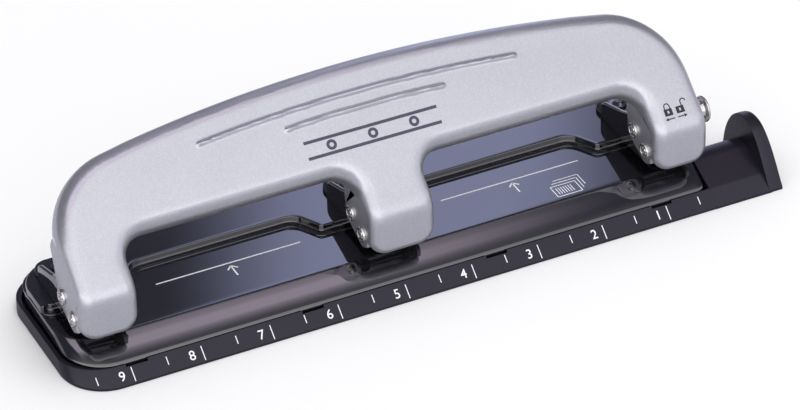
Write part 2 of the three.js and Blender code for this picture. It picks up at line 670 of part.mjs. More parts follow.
// The paper stop: a fin whose outer side leans in towards its rounded top.
function paperStop() {
  const { front, edge } = TRAY;
  const bezier = (...points) =>
    new THREE.CubicBezierCurve(...points.map(([y, z]) => new THREE.Vector2(y, z)));
  const climb = bezier([front + 0.2, edge], [-17.6, 10.2], [-12.2, STOP_HEIGHT], [-4.3, STOP_HEIGHT]);
  const fall = bezier([-4.3, STOP_HEIGHT], [3.2, STOP_HEIGHT], [8.6, 11.5], [8.7, 0]);
  const side = [
    [front + 0.2, 0], ...climb.getPoints(12).map((p) => [p.x, p.y]),
    ...fall.getPoints(9).slice(1).map((p) => [p.x, p.y]),
  ].reverse();
  const layers = [[0, 1], [0.45, 1], [0.8, 0.985], [0.93, 0.955], [1, 0.9]];
  const rings = layers.map(([across, scale]) => side.map(([y, z]) => [
    STOP_FACE + across * STOP_THICKNESS,
    front + 0.2 + (y - front - 0.2) * (0.75 + 0.25 * scale),
    z * scale,
  ]));
  return solid(stacked(rings, ([, y, z]) => [y, z]));
}

function chipTray() {
  const slots = TRAY_SLOTS.map((x) =>
    box([x - 4, x + 4], [TRAY.front + 4.6, TRAY.front + 6], [4.1, 6]));
  return cut(join(trayPan(), rulerEnd(), trayEnd(), paperStop()), ...slots);
}

// ---------------------------------------------------------------- assembly

add('base_pan', basePan(), blackPaint());
add('deck', deck(), blackPaint());
add('handle', handle(), silverPaint());
add('lock_bush', lockBush(), nickel());
add('lock_knob', lockKnob(), nickel());
add('chip_tray', chipTray(), smokePlastic());
for (const station of STATIONS) {
  const { name } = station;
  const drive = onArc(DRIVE_RADIUS, DRIVE_ANGLE);
  add(`bracket_${name}`, bracket(station), blackPaint());
  add(`die_plate_${name}`, diePlate(station), toolSteel());
  add(`deck_spacer_${name}`, spacer(station), toolSteel());
  add(`bracket_rivet_${name}`, tongueRivet(station), blackPaint());
  add(`fulcrum_pin_${name}`, armPin(station, FULCRUM.y, FULCRUM.z), nickel());
  add(`fulcrum_cap_${name}`, pinCap(station, FULCRUM.y, FULCRUM.z), nickel());
  const locked = name === 'right';
  add(`drive_pin_${name}`, armPin(station, ...drive, locked ? 0.4 : 1.2), nickel());
  if (!locked) add(`drive_cap_${name}`, pinCap(station, ...drive), nickel());
  add(`punch_${name}`, punchPin(station), toolSteel());
  add(`spring_clip_${name}`, springClip(station), toolSteel());
  add(`return_spring_${name}`, returnSpring(station), nickel());
}

export default punchModel;
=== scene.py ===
import math

import bmesh
import bpy
from mathutils import Matrix, Vector


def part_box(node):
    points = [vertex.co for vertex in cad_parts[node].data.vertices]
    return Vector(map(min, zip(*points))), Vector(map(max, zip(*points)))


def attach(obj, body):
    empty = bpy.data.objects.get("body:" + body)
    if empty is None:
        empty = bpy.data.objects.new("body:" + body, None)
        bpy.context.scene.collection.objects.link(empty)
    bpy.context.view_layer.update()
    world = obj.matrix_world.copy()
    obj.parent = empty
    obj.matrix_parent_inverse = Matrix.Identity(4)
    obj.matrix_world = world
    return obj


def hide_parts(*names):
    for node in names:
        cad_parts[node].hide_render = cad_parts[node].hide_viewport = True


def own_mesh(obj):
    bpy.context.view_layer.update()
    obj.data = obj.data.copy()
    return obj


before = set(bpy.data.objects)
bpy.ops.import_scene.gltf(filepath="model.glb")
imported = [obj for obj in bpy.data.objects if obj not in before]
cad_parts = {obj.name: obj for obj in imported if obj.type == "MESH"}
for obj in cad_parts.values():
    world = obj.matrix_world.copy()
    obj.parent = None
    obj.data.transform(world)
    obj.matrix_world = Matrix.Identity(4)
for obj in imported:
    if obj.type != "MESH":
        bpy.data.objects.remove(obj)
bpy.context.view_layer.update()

# Looks for a three hole punch. Lengths below are in millimetres, in the CAD frame, and each
# finished piece is scaled to metres when it is placed.

MM = 0.001


def span(node):
    """Lowest and highest corner of a CAD node, in millimetres."""
    low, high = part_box(node)
    return low / MM, high / MM


def centre(node):
    low, high = span(node)
    return (low + high) / 2


# -------- driving dimensions

# Clearances: between sheets, of a fixed fit and of a running fit.
GAP = 0.3
FIT = 0.05
RUNNING = 0.2

PAPER_HOLE = 7.14
PLATE_TOP = span("base_pan")[1].z
PAN_SHEET = 1.2
DECK_TOP = span("deck")[1].z
DECK_SHEET = 1.0
BRACKET_LOW = span("bracket_middle")[0].z
# How far back the pan's sloping front reaches.
RIDGE_RUN = 11.0

# The handle's sheet runs up from its feet, bends back and ends in an arched crown.
HANDLE_SHEET = 1.5
HANDLE_RIM = 8.5
FOOT_Z = span("handle")[0].z
FACE_Y = span("handle")[0].y
BEND_START = 12.95
BEND_RADIUS = 10.0
BEND_ANGLE = math.radians(48)
ARM_TOP = 35.0
CROWN = 72.6
ARCH_RADIUS = 566.0
END_CORNER = 29.0

FULCRUM = centre("fulcrum_pin_middle")
DRIVE = centre("drive_pin_middle")
LOCK = centre("lock_knob")
DRIVE_RADIUS = math.hypot(DRIVE.y - FULCRUM.y, DRIVE.z - FULCRUM.z)
DRIVE_ANGLE = math.degrees(math.atan2(DRIVE.z - FULCRUM.z, DRIVE.y - FULCRUM.y))
PRESS = 38.0
PIN_RADIUS = 1.75

EAR_OUTSIDE = 8.4
EAR_SHEET = 1.6
EAR_NOSE = 3.45
BRACKET_FLOOR = BRACKET_LOW + EAR_SHEET
TONGUE_HALF = 8
TONGUE_END = 35
TONGUE_RIVET = centre("bracket_rivet_middle").y
RIVET_HOLE = 2.2

OUTER_ARM = 20.7
MIDDLE_ARM = 24.2

# Name, place and width of the arm of each punching station.
STATIONS = [
    ("left", centre("punch_left").x, OUTER_ARM),
    ("middle", centre("punch_middle").x, MIDDLE_ARM),
    ("right", centre("punch_right").x, OUTER_ARM),
]
FLANGE_FACE = STATIONS[2][1] + OUTER_ARM / 2


# -------- outlines and skins

def eased(points, reach, steps=4):
    """Rounds the inner corners of a chain of points of any dimension. Reach is the distance
    each round may take from its two sides, as one number or one for each point."""
    if not isinstance(reach, (list, tuple)):
        reach = [reach] * len(points)
    result = [tuple(points[0])]
    for i in range(1, len(points) - 1):
        before, corner, after = (Vector(p) for p in points[i - 1:i + 2])
        if reach[i] <= 0:
            result.append(tuple(corner))
            continue
        first = min(0.48, reach[i] / max((corner - before).length, 1e-6))
        last = min(0.48, reach[i] / max((after - corner).length, 1e-6))
        start = corner.lerp(before, first)
        end = corner.lerp(after, last)
        for k in range(steps + 1):
            share = k / steps
            result.append(tuple(start.lerp(corner, share).lerp(corner.lerp(end, share), share)))
    result.append(tuple(points[-1]))
    return result


def eased_loop(points, reach, steps=4):
    """The same for a chain that comes back to its first point."""
    result = eased(points, reach, steps)
    result[-1] = result[0]
    return result


def arc(u, v, radius, start, end, steps):
    """Points round an arc in degrees, both ends included."""
    angles = [math.radians(start + (end - start) * i / steps) for i in range(steps + 1)]
    return [(u + radius * math.cos(a), v + radius * math.sin(a)) for a in angles]


def rounded_outline(corners, step=7.5):
    """Rounds the corners (u, v, radius) of an anticlockwise polygon. Each entry that comes
    back is (u, v, normal u, normal v)."""
    outline = []
    count = len(corners)
    for i, (u, v, radius) in enumerate(corners):
        corner = Vector((u, v))
        arriving = (corner - Vector(corners[i - 1][:2])).normalized()
        leaving = (Vector(corners[(i + 1) % count][:2]) - corner).normalized()
        turn = math.atan2(arriving.x * leaving.y - arriving.y * leaving.x, arriving.dot(leaving))
        side = 1 if turn >= 0 else -1
        normal = Vector((arriving.y, -arriving.x))
        if not radius:
            middle = (normal + Vector((leaving.y, -leaving.x))).normalized()
            outline.append((u, v, middle.x, middle.y))
            continue
        hub = corner - arriving * radius * math.tan(abs(turn) / 2) - normal * side * radius
        steps = max(2, math.ceil(abs(math.degrees(turn)) / step))
        for k in range(steps + 1):
            a = turn * k / steps
            n = Vector((normal.x * math.cos(a) - normal.y * math.sin(a),
                        normal.x * math.sin(a) + normal.y * math.cos(a)))
            point = hub + n * side * radius
            outline.append((point.x, point.y, n.x, n.y))
    return outline


def rectangle(left, right, front, rear, radii, step=7.5):
    """Outline of a rectangle. Radii start at the front left and go anticlockwise."""
    corners = ((left, front), (right, front), (right, rear), (left, rear))
    return rounded_outline([(u, v, radius) for (u, v), radius in zip(corners, radii)], step)


def skin(rings, closed_ends=True):
    """Vertices and faces of a stack of rings with equal counts."""
    count = len(rings[0])
    faces = []
    for k in range(len(rings) - 1):
        for i in range(count):
            a, b = k * count + i, k * count + (i + 1) % count
            faces.append((a, b, b + count, a + count))
    if closed_ends:
        faces.append(tuple(reversed(range(count))))
        last = (len(rings) - 1) * count
        faces.append(tuple(range(last, last + count)))
    return [point for ring in rings for point in ring], faces


def put(name, data):
    obj = bpy.data.objects.new(name, data)
    bpy.context.scene.collection.objects.link(obj)
    return obj


def new_object(name, verts, faces):
    """A mesh object with equal points merged and its faces turned outwards."""
    mesh = bpy.data.meshes.new(name)
    mesh.from_pydata([tuple(v) for v in verts], [], faces)
    body = bmesh.new()
    body.from_mesh(mesh)
    bmesh.ops.remove_doubles(body, verts=body.verts, dist=1e-4)
    bmesh.ops.recalc_face_normals(body, faces=body.faces)
    body.to_mesh(mesh)
    body.free()
    return put(name, mesh)


def inset_rings(outline, profile_at, place):
    """Rings of a pan: profile_at(entry) gives (inset, height) pairs, and place puts a point
    (u, v, height) in space."""
    profiles = [profile_at(entry) for entry in outline]
    rings = []
    for k in range(len(profiles[0])):
        ring = []
        for (u, v, nu, nv), profile in zip(outline, profiles):
            inset, height = profile[k]
            ring.append(place(u - nu * inset, v - nv * inset, height))
        rings.append(ring)
    return rings


def plate(name, outline, low, high, place, edge=0.3, steps=3):
    """A flat plate with rounded edges. Place puts a point (u, v, height) in space."""
    turns = [math.radians(90 * i / steps) for i in range(steps + 1)]
    bottom = [(edge * (1 - math.sin(a)), low + edge * (1 - math.cos(a))) for a in turns]
    top = [(inset, high - (height - low)) for inset, height in reversed(bottom)]
    return new_object(name, *skin(inset_rings(outline, lambda _: bottom + top, place)))


def across(x):
    """Puts (y, z, height) in space with height along X from x."""
    return lambda u, v, height: (x + height, u, v)


def upright(u, v, height):
    return (u, v, height)


def dish_rings(bounds, radii, rows, step=7.5):
    """A dish whose sides slope by different amounts. Each row is how far the sides, the
    front and the back lie in from the bounds, and the height there."""
    left, right, front, rear = bounds
    outline = rectangle(left, right, front, rear, radii, step)
    rings = []
    for side, ahead, behind, height in rows:
        ring = []
        for u, v, _, _ in outline:
            s = (u - left) / (right - left)
            t = (v - front) / (rear - front)
            ring.append((left + side + (right - left - 2 * side) * s,
                         front + ahead + (rear - front - ahead - behind) * t, height))
        rings.append(ring)
    return rings


def turned(name, profile, point, axis="Z", sides=48, wave=None):
    """A profile of (radius, height) pairs turned about an axis through a point. Wave may
    shift a height by (radius, angle)."""
    closed_loop = profile[0] == profile[-1] and profile[0][0] > 0
    rows = profile[:-1] if closed_loop else profile
    rings = []
    for radius, height in rows:
        ring = []
        for i in range(sides):
            a = 2 * math.pi * i / sides
            shift = wave(radius, a) if wave else 0
            u, v, w = radius * math.cos(a), radius * math.sin(a), height + shift
            ring.append((point[0] + u, point[1] + v, w) if axis == "Z" else (w, point[1] + u, point[2] + v))
        rings.append(ring)
    if closed_loop:
        rings.append(rings[0])
    return new_object(name, *skin(rings, closed_ends=not closed_loop))


def combine(base, others, operation="UNION"):
    """Joins or cuts closed meshes and removes the ones used."""
    for other in others:
        modifier = base.modifiers.new("combine", "BOOLEAN")
        modifier.operation = operation
        modifier.solver = "MANIFOLD"
        modifier.object = other
        graph = bpy.context.evaluated_depsgraph_get()
        graph.update()
        mesh = bpy.data.meshes.new_from_object(base.evaluated_get(graph))
        base.modifiers.clear()
        base.data = mesh
        bpy.data.objects.remove(other)
    return base


def rod(radius, point, start, end, axis="Z", sides=48):
    """A plain cylinder used as a cutter."""
    return turned("rod", [(0, start), (radius, start), (radius, end), (0, end)], point, axis, sides)


def washer(inner, outer, low, high):
    """Profile of a flat ring, to be turned."""
    return [(inner, low), (outer, low), (outer, high), (inner, high), (inner, low)]


def slab(x, y, z):
    """A plain box used as a cutter."""
    corners = [(a, b, c) for c in z for b in y for a in x]
    faces = [(0, 1, 3, 2), (4, 5, 7, 6), (0, 1, 5, 4), (2, 3, 7, 6), (0, 2, 6, 4), (1, 3, 7, 5)]
    return new_object("cutter", corners, faces)


def sweep(name, path, radius, sides=10):
    """A wire of round section along a list of points, closed at both ends."""
    rings = []
    up = Vector((0, 0, 1))
    for i, point in enumerate(path):
        ahead = Vector(path[min(i + 1, len(path) - 1)]) - Vector(path[max(i - 1, 0)])
        ahead.normalize()
        side = ahead.cross(up).normalized()
        top = side.cross(ahead)
        ring = []
        for k in range(sides):
            a = 2 * math.pi * k / sides
            ring.append(Vector(point) + (side * math.cos(a) + top * math.sin(a)) * radius)
        rings.append(ring)
    return new_object(name, *skin(rings))


def finish_piece(obj, name, body, node, material, angle=32):
    """Scales a piece to metres, shades it smooth up to an angle, gives it its material and
    its body, and lets it stand in for a CAD node."""
    mesh = obj.data
    mesh.transform(Matrix.Scale(MM, 4))
    obj.name = name
    mesh.name = name
    work = bmesh.new()
    work.from_mesh(mesh)
    bmesh.ops.dissolve_degenerate(work, edges=work.edges, dist=1e-7)
    for face in work.faces:
        face.smooth = True
    for edge in work.edges:
        edge.smooth = len(edge.link_faces) == 2 and edge.calc_face_angle(0) < math.radians(angle)
    work.to_mesh(mesh)
    work.free()
    mesh.materials.clear()
    mesh.materials.append(material)
    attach(obj, body)
    if node:
        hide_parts(node)


# -------- materials

class Tree:
    """A short way to write a tree of shader nodes."""

    def __init__(self, tree):
        self.tree = tree

    def add(self, kind, inputs=None, **values):
        node = self.tree.nodes.new("ShaderNode" + kind)
        for key, value in values.items():
            setattr(node, key, value)
        for key, value in (inputs or {}).items():
            self.feed(node.inputs[key], value)
        return node

    def feed(self, socket, value):
        if isinstance(value, bpy.types.NodeSocket):
            self.tree.links.new(value, socket)
        else:
            socket.default_value = value

    def ramp(self, value, start, end, low=0.0, high=1.0, kind="LINEAR"):
        inputs = {"Value": value, "From Min": start, "From Max": end, "To Min": low, "To Max": high}
        return self.add("MapRange", inputs, interpolation_type=kind).outputs["Result"]

    def maths(self, operation, first, second=0.0):
        return self.add("Math", {0: first, 1: second}, operation=operation).outputs[0]

    def colours(self, value, first, second):
        node = self.add("Mix", data_type="RGBA")
        sockets = {socket.identifier: socket for socket in node.inputs}
        self.feed(sockets["Factor_Float"], value)
        for key, colour in (("A_Color", first), ("B_Color", second)):
            self.feed(sockets[key], (*colour, 1) if isinstance(colour, tuple) else colour)
        return next(socket for socket in node.outputs if socket.identifier == "Result_Color")

    def in_mirrors(self):
        return self.add("LightPath").outputs["Is Glossy Ray"]


class Nodes(Tree):
    """The node tree of a material, round its one surface shader."""

    def __init__(self, name):
        self.material = bpy.data.materials.new(name)
        self.material.use_nodes = True
        super().__init__(self.material.node_tree)
        self.shader = self.tree.nodes["Principled BSDF"]
        self.place = self.add("TexCoord").outputs["Object"]

    def noise(self, scale, detail=2.0, roughness=0.5, stretch=(1, 1, 1)):
        place = self.add("Mapping", {"Scale": stretch, "Vector": self.place}).outputs["Vector"]
        inputs = {"Vector": place, "Scale": scale, "Detail": detail, "Roughness": roughness}
        return self.add("TexNoise", inputs).outputs["Fac"]

    def cells(self, scale):
        inputs = {"Vector": self.place, "Scale": scale}
        return self.add("TexVoronoi", inputs).outputs["Color"]

    def bump(self, height, strength, distance, normal=None):
        inputs = {"Height": height, "Strength": strength, "Distance": distance}
        if normal is not None:
            inputs["Normal"] = normal
        return self.add("Bump", inputs).outputs["Normal"]

    def set(self, **values):
        for key, value in values.items():
            self.feed(self.shader.inputs[key.replace("_", " ")], value)


def silver_paint():
    """Satin metallic paint: fine flakes, a faint orange peel and slow changes of tone."""
    n = Nodes("silver_paint")
    tone = n.colours(n.noise(28, 3), (0.50, 0.50, 0.54), (0.55, 0.55, 0.59))
    lit = n.ramp(n.cells(3600), 0.0, 1.0)
    base = n.colours(n.ramp(lit, 0.35, 0.95, 0.0, 0.45), tone, (0.72, 0.72, 0.76))
    peel = n.bump(n.noise(1800, 2), 0.10, 0.0001)
    flake_bump = n.bump(lit, 0.10, 0.0001, peel)
    rough = n.ramp(n.noise(60, 4), 0.3, 0.7, 0.30, 0.38)
    n.set(Base_Color=base, Metallic=0.8, Roughness=rough, Normal=flake_bump)
    n.set(Coat_Weight=0.3, Coat_Roughness=0.12)
    return n.material


def black_enamel():
    """High gloss black enamel with slow waves and a little fine dust in the coat."""
    n = Nodes("black_enamel")
    base = n.colours(n.noise(40, 3), (0.006, 0.006, 0.008), (0.010, 0.010, 0.013))
    waves = n.bump(n.noise(45, 1), 0.05, 0.0004)
    dust = n.bump(n.noise(1400, 2), 0.012, 0.0001, waves)
    rough = n.ramp(n.noise(60, 3), 0.35, 0.75, 0.04, 0.09)
    n.set(Base_Color=base, Roughness=rough, Normal=dust, IOR=1.55)
    n.set(Coat_Weight=1.0, Coat_Roughness=0.02, Coat_IOR=1.8)
    return n.material


def nickel_plate():
    """Bright nickel: a warm reflection with fine turning marks."""
    n = Nodes("nickel_plate")
    base = n.colours(n.noise(150, 3), (0.66, 0.63, 0.58), (0.80, 0.78, 0.74))
    marks = n.bump(n.noise(700, 3), 0.12, 0.0001)
    rough = n.ramp(n.noise(500, 4), 0.3, 0.7, 0.10, 0.24)
    n.set(Base_Color=base, Metallic=1.0, Roughness=rough, Normal=marks)
    return n.material


def ground_steel():
    """Tool steel with grinding marks round the punch."""
    n = Nodes("ground_steel")
    base = n.colours(n.noise(90, 3), (0.38, 0.38, 0.39), (0.52, 0.52, 0.53))
    rings = n.noise(420, 3, 0.6, (0.15, 0.15, 9))
    marks = n.bump(rings, 0.25, 0.0001)
    rough = n.ramp(rings, 0.3, 0.7, 0.22, 0.38)
    n.set(Base_Color=base, Metallic=1.0, Roughness=rough, Normal=marks)
    return n.material


def smoke_plastic():
    """Dark smoke-coloured moulded plastic with a soft gloss."""
    n = Nodes("smoke_plastic")
    base = n.colours(n.noise(35, 3), (0.010, 0.009, 0.013), (0.016, 0.014, 0.020))
    grain = n.bump(n.noise(2200, 2), 0.05, 0.00005)
    rough = n.ramp(n.noise(90, 3), 0.3, 0.75, 0.27, 0.33)
    n.set(Base_Color=base, Roughness=rough, Normal=grain, IOR=1.46)
    n.set(Specular_Tint=(0.86, 0.82, 1.0, 1.0))
    return n.material


def ink(name, first, second):
    """Screen-printed ink: almost flat, with a slightly uneven film."""
    n = Nodes(name)
    base = n.colours(n.noise(900, 3), first, second)
    rough = n.ramp(n.noise(1200, 2), 0.3, 0.7, 0.42, 0.6)
    n.set(Base_Color=base, Roughness=rough, Normal=n.bump(n.noise(1800, 2), 0.08, 0.00005))
    return n.material


SILVER = silver_paint()
ENAMEL = black_enamel()
NICKEL = nickel_plate()
STEEL = ground_steel()
SMOKE = smoke_plastic()
WHITE_INK = ink("white_ink", (0.90, 0.90, 0.93), (0.98, 0.98, 1.0))
BLACK_INK = ink("black_ink", (0.012, 0.012, 0.016), (0.02, 0.02, 0.026))
SLATE_INK = ink("slate_ink", (0.055, 0.050, 0.085), (0.070, 0.064, 0.105))


# -------- base

PAN_LOW, PAN_HIGH = span("base_pan")
PAN = (PAN_LOW.x, PAN_HIGH.x, PAN_LOW.y, PAN_HIGH.y)
PAN_CORNERS = (15.5, 4, 12.5, 14.5)


def base_pan():
    """The pressed pan: a flat paper bed, a sloping front and steep sides."""
    t = PAN_SHEET
    under = PLATE_TOP - t
    run = RIDGE_RUN
    foot = PAN_LOW.z
    rows = eased([
        (2.0, run + 1.6, 2.0, PLATE_TOP), (0.1, run - 0.4, 0.1, PLATE_TOP),
        (0.05, run * 0.55, 0.05, 8.7), (0.0, 0.15, 0.0, 5.6), (0, 0, 0, foot), (t, t, t, foot),
        (t, t, t, 4.6), (1.4, run + 0.2, 1.4, under), (2.2, run + 1.6, 2.2, under),
    ], [0, 0.9, 2.4, 1.0, 0.4, 0.4, 1.0, 0.8, 0], 8)
    body = new_object("base_pan", *skin(dish_rings(PAN, PAN_CORNERS, rows, 4)))
    holes = []
    for _, x, _ in STATIONS:
        holes.append(rod(PAPER_HOLE / 2 + 0.2, (x, 0), under - 1, PLATE_TOP + 1))
        holes.append(rod(RIVET_HOLE, (x, TONGUE_RIVET), under - 1, PLATE_TOP + 1))
    combine(body, holes, "DIFFERENCE")
    finish_piece(body, "base_pan_enamelled", "base", "base_pan", ENAMEL)


DECK_LOW, DECK_HIGH = span("deck")
# The lip stands forward this far to each side of a station, then swings back to the line
# of the window over this distance.
LIP_REACH = 18.9
LIP_SWING = 6.0
WINDOW_LIP = 20.2


def deck():
    """The upper sheet: its front edge drops to a thin flange that stops the paper, its ends
    drop straight down and its back slopes down."""
    left, right, station, rear = DECK_LOW.x, DECK_HIGH.x, DECK_LOW.y, DECK_HIGH.y
    front = [(left, station, 4)]
    for (_, x, _), (_, following, _) in zip(STATIONS, STATIONS[1:]):
        away = LIP_REACH + LIP_SWING
        front += [(x + LIP_REACH, station, 4.2), (x + away, WINDOW_LIP, 4.2)]
        front += [(following - away, WINDOW_LIP, 4.2), (following - LIP_REACH, station, 4.2)]
    front.append((right, station, 4))
    outline = rounded_outline(front + [(right, rear, 9), (left, rear, 14)], 5)
    top, under, foot = DECK_TOP, DECK_TOP - DECK_SHEET, PLATE_TOP + FIT
    reach = [0, 0.4, 0.5, 0.7, 0.12, 0.12, 0.4, 0]
    lip = eased([
        (3.9, top), (2.55, top), (2.35, foot + 0.7), (0.0, foot + 0.42), (0.0, foot), (3.3, foot),
        (3.4, under), (3.9, under),
    ], reach, 6)
    end = eased([
        (3.8, top), (0.0, top), (0.0, foot + 1.6), (0.0, foot + 0.8), (0.0, foot), (1.0, foot),
        (1.05, under), (3.8, under),
    ], [0, 0.5, 0, 0, 0.1, 0.1, 0.4, 0], 6)
    back = eased([
        (3.8, top), (2.3, top), (0.6, foot + 0.6), (0.15, foot + 0.3), (0.1, foot), (1.6, foot),
        (2.9, under), (3.8, under),
    ], [0, 0.8, 0.5, 0.2, 0.1, 0.2, 0.4, 0], 6)

    def blended(first, second, share):
        return [(a + (c - a) * share, b + (d - b) * share) for (a, b), (c, d) in zip(first, second)]

    def profile(entry):
        _, _, nu, nv = entry
        swings = nv < -0.3 and abs(nu) < 0.9
        share = 0 if swings else smooth(nv + abs(nu), -0.2, 0.8)
        return blended(blended(lip, end, share), back, max(0, nv))

    body = new_object("deck", *skin(inset_rings(outline, profile, upright)))
    holes = [rod(RIVET_HOLE, (x, TONGUE_RIVET), foot, top + 1) for _, x, _ in STATIONS]
    combine(body, holes, "DIFFERENCE")
    finish_piece(body, "deck_enamelled", "base", "deck", ENAMEL)


def on_arc(radius, degrees):
    """A point at this radius and angle from the fulcrum, seen from the right."""
    a = math.radians(degrees)
    return FULCRUM.y + radius * math.cos(a), FULCRUM.z + radius * math.sin(a)


def slot_cutter(x, half_width):
    """The curved slot that guides the drive pin through both ears."""
    high, low = DRIVE_ANGLE, DRIVE_ANGLE - PRESS
    half = PIN_RADIUS + RUNNING
    top, bottom = on_arc(DRIVE_RADIUS, high), on_arc(DRIVE_RADIUS, low)
    points = arc(FULCRUM.y, FULCRUM.z, DRIVE_RADIUS + half, low, high, 12)
    points += arc(*top, half, high, high + 180, 16)[1:-1]
    points += arc(FULCRUM.y, FULCRUM.z, DRIVE_RADIUS - half, high, low, 12)
    points += arc(*bottom, half, low + 180, low + 360, 16)[1:-1]
    rings = [[(x + side, y, z) for y, z in points] for side in (-half_width, half_width)]
    return new_object("slot", *skin(rings))


def bracket(name, x):
    """A station bracket: a channel whose floor guides the punch and runs back as a tongue."""
    low, floor = BRACKET_LOW, BRACKET_FLOOR
    nose = [(y, z, 0) for y, z in arc(FULCRUM.y, FULCRUM.z, EAR_NOSE, 130, 290, 20)]
    ear = rounded_outline(nose + [
        (-4.6, low, 0.6), (26.8, low, 0.6), (26.6, 20.2, 2.2), (14.1, 24.1, 12),
        (5.6, 27.6, 8), (1.8, 29.4, 3), (-1.6, 28.9, 4), (-6.2, 26.4, 2),
    ], 6)
    inside = EAR_OUTSIDE - EAR_SHEET
    side = EAR_OUTSIDE - 0.3
    body = slab((x - side, x + side), (-4.6, 27), (low, floor))
    tongue = rectangle(x - TONGUE_HALF, x + TONGUE_HALF, 26, TONGUE_END, (0.5, 0.5, 5.5, 5.5), 6)
    pieces = [
        plate("ear", ear, 0, EAR_SHEET, across(x - EAR_OUTSIDE)),
        plate("ear", ear, 0, EAR_SHEET, across(x + inside)),
        plate("tongue", tongue, low, floor, upright),
    ]
    combine(body, pieces)
    combine(body, [
        rod(PAPER_HOLE / 2 + 0.15, (x, 0), low - 1, floor + 1),
        rod(RIVET_HOLE, (x, TONGUE_RIVET), low - 1, floor + 1),
        rod(PIN_RADIUS + FIT, (0, FULCRUM.y, FULCRUM.z), x - 10, x + 10, "X", 32),
        slot_cutter(x, 10),
    ], "DIFFERENCE")
    finish_piece(body, f"bracket_{name}_enamelled", "base", f"bracket_{name}", ENAMEL)


def tongue_rivet(name, x):
    """The rivet through tongue, deck and pan, with a rolled rim and a dished middle."""
    low, high = span(f"bracket_rivet_{name}")
    under = low.z + 1
    seat = BRACKET_FLOOR + FIT
    profile = eased([
        (0, low.z), (3.1, low.z), (3.4, under), (1.9, under), (1.9, seat), (2.55, seat),
        (2.6, high.z - 0.2), (2.0, high.z), (1.3, high.z - 0.6), (0, high.z - 0.6),
    ], [0, 0.4, 0, 0, 0, 0.2, 0.4, 0.4, 0.4, 0], 5)
    rivet = turned("rivet", profile, (x, TONGUE_RIVET))
    finish_piece(rivet, f"tongue_rivet_{name}", "base", f"bracket_rivet_{name}", ENAMEL)


def die_and_spacer(name, x):
    """The die plate under the bed and the sleeve round the rivet, between pan and deck."""
    low, high = span(f"die_plate_{name}")
    outline = rectangle(low.x, high.x, low.y, high.y, [1.5] * 4, 10)
    die = plate("die", outline, low.z, high.z, upright, 0.25)
    combine(die, [rod(PAPER_HOLE / 2 + 0.1, (x, 0), low.z - 1, high.z + 1)], "DIFFERENCE")
    finish_piece(die, f"die_{name}_steel", "base", f"die_plate_{name}", STEEL)
    low, high = span(f"deck_spacer_{name}")
    ring = washer(RIVET_HOLE, (high.x - low.x) / 2, low.z, high.z)
    sleeve = turned("spacer", ring, (x, TONGUE_RIVET), sides=32)
    finish_piece(sleeve, f"spacer_{name}_steel", "base", f"deck_spacer_{name}", STEEL)


# -------- stations

def stake(radius, angle):
    """Four radial marks pressed into the end of a pin."""
    if not 0.35 < radius < 1.7:
        return 0
    return 0.22 * abs(math.cos(2 * angle)) ** 10


def pin(name, node, body):
    """A pin through an arm: a staked head with a ring on the left, a plain end on the right."""
    low, high = span(node)
    middle = (low + high) / 2
    left = low.x
    shoulder = left + 1.1
    radius = PIN_RADIUS
    head = (high.z - low.z) / 2
    profile = eased([
        (0, left + 0.35), (0.45, left + 0.3), (0.9, left + 0.1), (1.35, left + 0.1),
        (1.75, left + 0.5), (2.0, left + 0.5), (2.3, left + 0.2), (head - 0.1, left + 0.3),
        (head, shoulder), (radius, shoulder), (radius, high.x), (0, high.x),
    ], [0, 0.1, 0.2, 0.2, 0.15, 0.1, 0.2, 0.3, 0.05, 0.05, 0.35, 0], 4)
    obj = turned("pin", profile, middle, "X", 64, stake)
    finish_piece(obj, name, body, node, NICKEL, 40)


def cap(name, node, body):
    """A push-on cap: a small dished washer round the end of a pin."""
    low, high = span(node)
    middle = (low + high) / 2
    bore = PIN_RADIUS + FIT
    outer = (high.z - low.z) / 2
    profile = eased_loop([
        (bore, low.x), (outer, low.x), (outer, low.x + 0.45), (outer - 0.5, high.x),
        (bore, high.x), (bore, low.x),
    ], [0, 0.1, 0.2, 0.4, 0.15, 0])
    obj = turned("cap", profile, middle, "X", 48)
    finish_piece(obj, name, body, node, NICKEL, 40)


def punch(name, x):
    """The punch pin, its cross slot and the spring clip in its groove."""
    low, high = span(f"punch_{name}")
    clip_low, clip_high = span(f"spring_clip_{name}")
    radius = PAPER_HOLE / 2
    groove = 2.9
    profile = eased([
        (0, low.z + 1.2), (radius, low.z), (radius, clip_low.z - FIT), (groove, clip_low.z - FIT),
        (groove, clip_high.z + FIT), (radius, clip_high.z + FIT), (radius, high.z - 0.7),
        (radius - 0.7, high.z), (0, high.z),
    ], [0, 0, 0, 0, 0, 0.15, 0.3, 0.3, 0], 3)
    body = turned("punch", profile, (x, 0))
    slot_half = 2.32
    slot_low, slot_high = DRIVE.z - PIN_RADIUS - 0.25, DRIVE.z + PIN_RADIUS + 0.3
    cutter = slab((x - 5, x + 5), (-slot_half, slot_half), (slot_low, slot_high))
    combine(body, [cutter], "DIFFERENCE")
    finish_piece(body, f"punch_{name}_steel", f"{name}_punch", f"punch_{name}", STEEL)

    bottom, top = clip_low.z, clip_high.z
    clip_radius = 5.2
    ring = eased_loop(washer(groove + FIT, clip_radius, bottom, top), 0.12, 3)
    clip = turned("clip", ring, (x, 0))
    opening = 1.6
    cutter = slab((x - opening, x + opening), (-6, 0), (bottom - 1, top + 1))
    combine(clip, [cutter], "DIFFERENCE")
    clip_node = f"spring_clip_{name}"
    finish_piece(clip, f"clip_{name}_steel", f"{name}_punch", clip_node, STEEL)


SPRING_WIRE = 0.35


